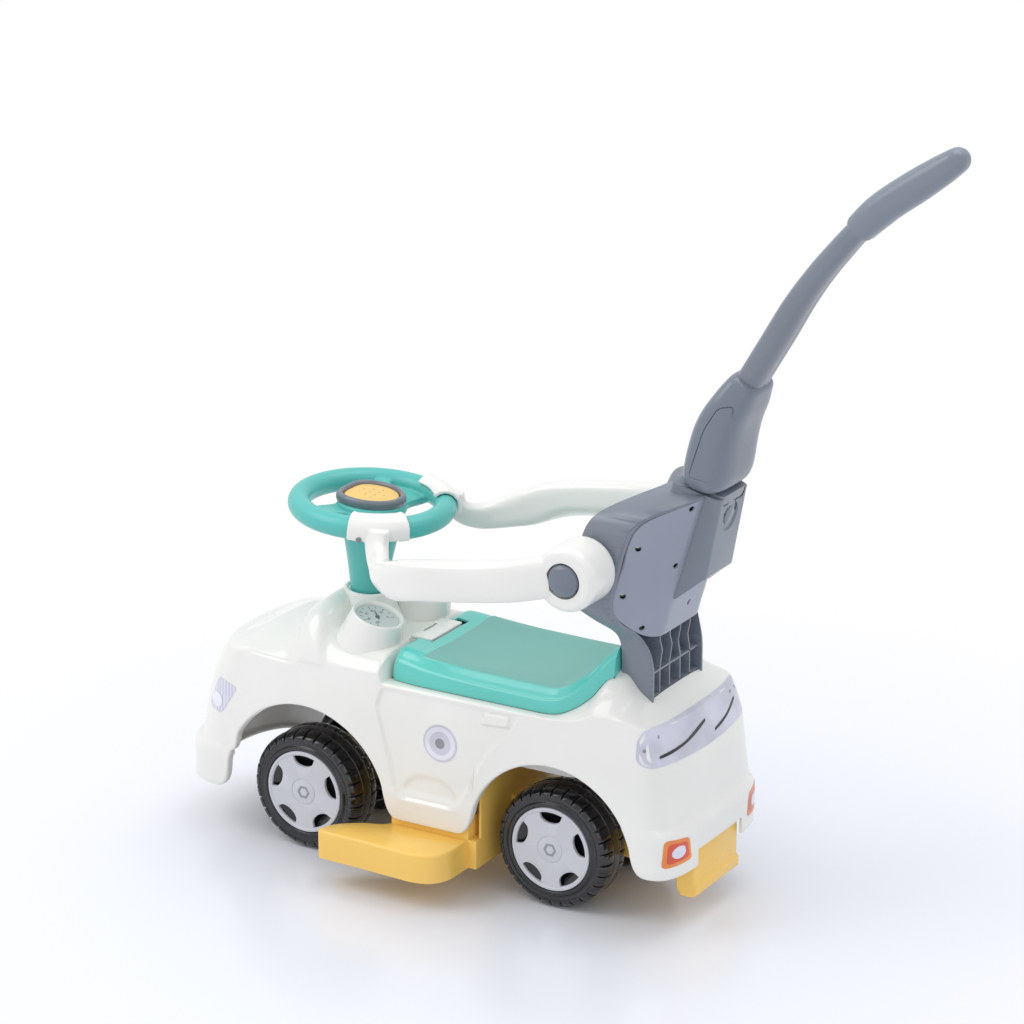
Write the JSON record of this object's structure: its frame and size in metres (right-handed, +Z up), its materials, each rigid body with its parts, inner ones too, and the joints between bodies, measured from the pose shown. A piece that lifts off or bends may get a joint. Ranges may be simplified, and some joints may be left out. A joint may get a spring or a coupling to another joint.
{
  "type": "foot-to-floor ride-on car",
  "caption": "Toddler's ride-on car with lift-up seat over a storage tub, steering wheel, swing-up guard arms, backrest and a push handle for a parent.",
  "frame": {"origin": "on the floor, under the middle of the overall length and width", "axes": "-X is the way the car drives, +Y its right side, +Z up"},
  "size_m": [0.9243, 0.3444, 0.89],
  "materials": {
    "white_plastic": "glossy white polypropylene",
    "teal_plastic": "teal, satin on top",
    "yellow_plastic": "satin yellow",
    "grey_plastic": "satin slate grey",
    "black_plastic": "glossy black, moulded tread",
    "light_grey_plastic": "satin light grey",
    "zinc_plated_steel": "bright zinc plate"
  },
  "bodies": {
    "car": {"body_shell": "white_plastic", "storage_tub": "white_plastic", "floor_pan": "yellow_plastic", "rear_stop_block": "yellow_plastic", "rear_axle": "zinc_plated_steel", "push_nut_rear_left": "zinc_plated_steel", "push_nut_rear_right": "zinc_plated_steel", "spacer_rear_left": "black_plastic", "spacer_rear_right": "black_plastic", "backrest_shell": "grey_plastic", "backrest_cover": "grey_plastic", "handle_socket": "grey_plastic", "gauge_dial_left": "light_grey_plastic", "gauge_dial_right": "light_grey_plastic", "arm_pivot_pin_left": "grey_plastic", "arm_pivot_pin_right": "grey_plastic"},
    "steering": {"steering_wheel": "teal_plastic", "steering_column": "teal_plastic", "steering_shaft": "zinc_plated_steel", "front_axle_bracket": "black_plastic", "front_axle": "zinc_plated_steel", "push_nut_front_left": "zinc_plated_steel", "push_nut_front_right": "zinc_plated_steel", "spacer_front_left": "black_plastic", "spacer_front_right": "black_plastic", "horn_ring": "grey_plastic", "sound_box": "black_plastic"},
    "horn_button": {"horn_pad": "yellow_plastic"},
    "front_left_wheel": {"wheel_front_left": "black_plastic", "hubcap_front_left": "light_grey_plastic"},
    "front_right_wheel": {"wheel_front_right": "black_plastic", "hubcap_front_right": "light_grey_plastic"},
    "rear_left_wheel": {"wheel_rear_left": "black_plastic", "hubcap_rear_left": "light_grey_plastic"},
    "rear_right_wheel": {"wheel_rear_right": "black_plastic", "hubcap_rear_right": "light_grey_plastic"},
    "seat": {"seat_lid": "teal_plastic"},
    "catch": {"seat_latch": "white_plastic"},
    "left_guard_arm": {"guard_arm_left": "white_plastic"},
    "right_guard_arm": {"guard_arm_right": "white_plastic"},
    "push_handle": {"handle_lower": "grey_plastic", "handle_tube": "grey_plastic", "handle_grip": "grey_plastic"}
  },
  "joints": [
    {"name": "steer", "type": "hinge", "parent": "car", "child": "steering", "pos_m": [-0.2571, 0, 0.296], "axis": [0.061, 0, 0.9981], "range_deg": [-20, 20]},
    {"name": "horn_press", "type": "slide", "parent": "steering", "child": "horn_button", "axis": [-0.061, 0, -0.9981], "range_m": [0, 0.002], "stiffness_N_per_m": 800},
    {"name": "front_left_spin", "type": "hinge", "parent": "steering", "child": "front_left_wheel", "pos_m": [-0.2904, -0.0635, 0.07], "axis": [0, 1, 0], "continuous": true},
    {"name": "front_right_spin", "type": "hinge", "parent": "steering", "child": "front_right_wheel", "pos_m": [-0.2904, 0.0635, 0.07], "axis": [0, 1, 0], "continuous": true},
    {"name": "rear_left_spin", "type": "hinge", "parent": "car", "child": "rear_left_wheel", "pos_m": [0.0322, -0.0635, 0.07], "axis": [0, 1, 0], "continuous": true},
    {"name": "rear_right_spin", "type": "hinge", "parent": "car", "child": "rear_right_wheel", "pos_m": [0.0322, 0.0635, 0.07], "axis": [0, 1, 0], "continuous": true},
    {"name": "seat_lift", "type": "hinge", "parent": "car", "child": "seat", "pos_m": [0.0969, 0, 0.302], "axis": [0, 1, 0], "range_deg": [0, 14]},
    {"name": "catch_slide", "type": "slide", "parent": "car", "child": "catch", "axis": [-1, 0, 0], "range_m": [0, 0.004]},
    {"name": "left_guard_arm_lift", "type": "hinge", "parent": "car", "child": "left_guard_arm", "pos_m": [0.0809, -0.12, 0.409], "axis": [0, 1, 0], "range_deg": [0, 75]},
    {"name": "right_guard_arm_lift", "type": "hinge", "parent": "car", "child": "right_guard_arm", "pos_m": [0.0809, 0.12, 0.409], "axis": [0, 1, 0], "range_deg": [0, 75]},
    {"name": "handle_pull", "type": "slide", "parent": "car", "child": "push_handle", "axis": [0.2924, 0, 0.9563], "range_m": [0, 0.1]}
  ]
}
